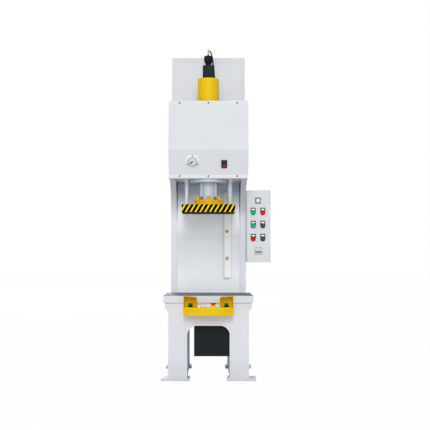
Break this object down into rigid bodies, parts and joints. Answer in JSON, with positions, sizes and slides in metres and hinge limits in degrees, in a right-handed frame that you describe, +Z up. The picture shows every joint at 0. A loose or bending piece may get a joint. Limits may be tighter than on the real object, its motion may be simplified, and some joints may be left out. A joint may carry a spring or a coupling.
{
  "type": "hydraulic press",
  "caption": "Single-column C-frame hydraulic press: guided slide, slotted table, two-hand start box, side button box and oil tank on top.",
  "frame": {"origin": "floor point midway between the four anchor bolt holes", "axes": "+X to the operator's right, +Y from the operator into the depth, +Z up"},
  "size_m": [0.7575, 1.014, 2.3065],
  "materials": {
    "frame_paint": "satin light grey enamel",
    "cover_paint": "satin light grey enamel",
    "table_steel": "ground steel, dark",
    "yellow_paint": "gloss yellow enamel",
    "slide_paint": "yellow enamel with black diagonal stripes",
    "chrome_rod": "hard chrome, ground",
    "guide_steel": "ground steel",
    "dark_steel": "oiled black steel",
    "cylinder_steel": "honed steel",
    "bronze": "turned bronze",
    "black_steel": "black powder coat",
    "black_cast": "black enamel",
    "motor_paint": "blue-grey enamel on aluminium",
    "black_plastic": "matt black",
    "green_plastic": "gloss green",
    "red_plastic": "gloss red",
    "grey_plastic": "grey",
    "white_plastic": "white",
    "orange_plastic": "orange-brown",
    "dial_metal": "pale dial in a grey case",
    "needle_paint": "matt black",
    "lens_glass": "clear",
    "hose_rubber": "black rubber"
  },
  "bodies": {
    "frame": {"frame_side_left": "frame_paint", "frame_side_right": "frame_paint", "throat_plate": "frame_paint", "column_back_plate": "frame_paint", "rear_cover": "cover_paint", "head_bottom_plate": "frame_paint", "head_top_plate": "frame_paint", "bed_plate": "frame_paint", "table_plate": "table_steel", "base_front_plate": "frame_paint", "base_rear_plate": "frame_paint", "leg_inner_plates": "frame_paint", "foot_pads": "frame_paint", "oil_tank": "cover_paint", "tank_lid": "cover_paint", "breather_cap": "dark_steel", "cylinder_barrel": "cylinder_steel", "cylinder_cap": "yellow_paint", "rod_gland": "bronze", "guide_bushes": "guide_steel", "head_cover": "cover_paint", "cover_screws": "dark_steel", "gauge_case": "dial_metal", "gauge_lens": "lens_glass", "switch_frame": "black_plastic", "control_box": "cover_paint", "two_hand_housing": "yellow_paint", "status_lamp": "white_plastic", "drive_enclosure": "black_steel", "sensor_rail": "cover_paint", "proximity_sensors": "orange_plastic", "motor": "motor_paint", "pump": "cylinder_steel", "prefill_valve": "black_cast", "oil_hoses": "hose_rubber", "valve_leads": "hose_rubber"},
    "slide": {"piston": "cylinder_steel", "piston_rod": "chrome_rod", "rod_flange": "yellow_paint", "rod_flange_bolts": "yellow_paint", "slide_plate": "slide_paint", "guide_rods": "guide_steel", "stroke_rod": "guide_steel"},
    "door": {"control_box_door": "cover_paint", "legend_frames": "black_plastic", "indicator_lamp": "grey_plastic", "counter": "grey_plastic"},
    "button_green_upper_body": {"button_green_upper": "green_plastic"},
    "button_red_upper_body": {"button_red_upper": "red_plastic"},
    "button_green_middle_body": {"button_green_middle": "green_plastic"},
    "button_red_lower_body": {"button_red_lower": "red_plastic"},
    "selector_upper_body": {"selector_upper": "black_plastic"},
    "selector_lower_body": {"selector_lower": "black_plastic"},
    "gauge_needle_body": {"gauge_needle": "needle_paint"},
    "switch_on_button_body": {"switch_on_button": "green_plastic"},
    "switch_off_button_body": {"switch_off_button": "red_plastic"},
    "palm_button_left_body": {"palm_button_left": "green_plastic"},
    "palm_button_right_body": {"palm_button_right": "green_plastic"},
    "stop_button_body": {"stop_button": "red_plastic"}
  },
  "joints": [
    {"name": "press_slide", "type": "slide", "parent": "frame", "child": "slide", "axis": [0, 0, -1], "range_m": [-0.07, 0.33]},
    {"name": "door_hinge", "type": "hinge", "parent": "frame", "child": "door", "pos_m": [0.438, 0.0065, 1.044], "axis": [0, 0, 1], "range_deg": [0, 110]},
    {"name": "button_green_upper_press", "type": "slide", "parent": "door", "child": "button_green_upper_body", "axis": [0, 1, 0], "range_m": [0, 0.004], "stiffness_N_per_m": 800, "springref_m": -0.002},
    {"name": "button_red_upper_press", "type": "slide", "parent": "door", "child": "button_red_upper_body", "axis": [0, 1, 0], "range_m": [0, 0.004], "stiffness_N_per_m": 800, "springref_m": -0.002},
    {"name": "button_green_middle_press", "type": "slide", "parent": "door", "child": "button_green_middle_body", "axis": [0, 1, 0], "range_m": [0, 0.004], "stiffness_N_per_m": 800, "springref_m": -0.002},
    {"name": "button_red_lower_press", "type": "slide", "parent": "door", "child": "button_red_lower_body", "axis": [0, 1, 0], "range_m": [0, 0.004], "stiffness_N_per_m": 800, "springref_m": -0.002},
    {"name": "selector_upper_turn", "type": "hinge", "parent": "door", "child": "selector_upper_body", "pos_m": [0.387, 0.0035, 1.0465], "axis": [0, 1, 0], "range_deg": [0, 90]},
    {"name": "selector_lower_turn", "type": "hinge", "parent": "door", "child": "selector_lower_body", "pos_m": [0.387, 0.0035, 0.9535], "axis": [0, 1, 0], "range_deg": [0, 90]},
    {"name": "switch_on_button_press", "type": "slide", "parent": "frame", "child": "switch_on_button_body", "axis": [0, 0.9226, 0.3858], "range_m": [0, 0.003], "stiffness_N_per_m": 800, "springref_m": -0.002},
    {"name": "switch_off_button_press", "type": "slide", "parent": "frame", "child": "switch_off_button_body", "axis": [0, 0.9226, 0.3858], "range_m": [0, 0.003], "stiffness_N_per_m": 800, "springref_m": -0.002},
    {"name": "palm_button_left_press", "type": "slide", "parent": "frame", "child": "palm_button_left_body", "axis": [0, 0, -1], "range_m": [0, 0.005], "stiffness_N_per_m": 1500, "springref_m": -0.003},
    {"name": "palm_button_right_press", "type": "slide", "parent": "frame", "child": "palm_button_right_body", "axis": [0, 0, -1], "range_m": [0, 0.005], "stiffness_N_per_m": 1500, "springref_m": -0.003},
    {"name": "stop_button_press", "type": "slide", "parent": "frame", "child": "stop_button_body", "axis": [0, 0, -1], "range_m": [0, 0.003], "stiffness_N_per_m": 2500, "springref_m": -0.003},
    {"name": "gauge_needle_turn", "type": "hinge", "parent": "frame", "child": "gauge_needle_body", "pos_m": [-0.1084, -0.34113, 1.4716], "axis": [0, 0.9226, 0.3858], "range_deg": [0, 270], "stiffness_Nm_per_rad": 0.0004, "springref_deg": -28.65}
  ]
}
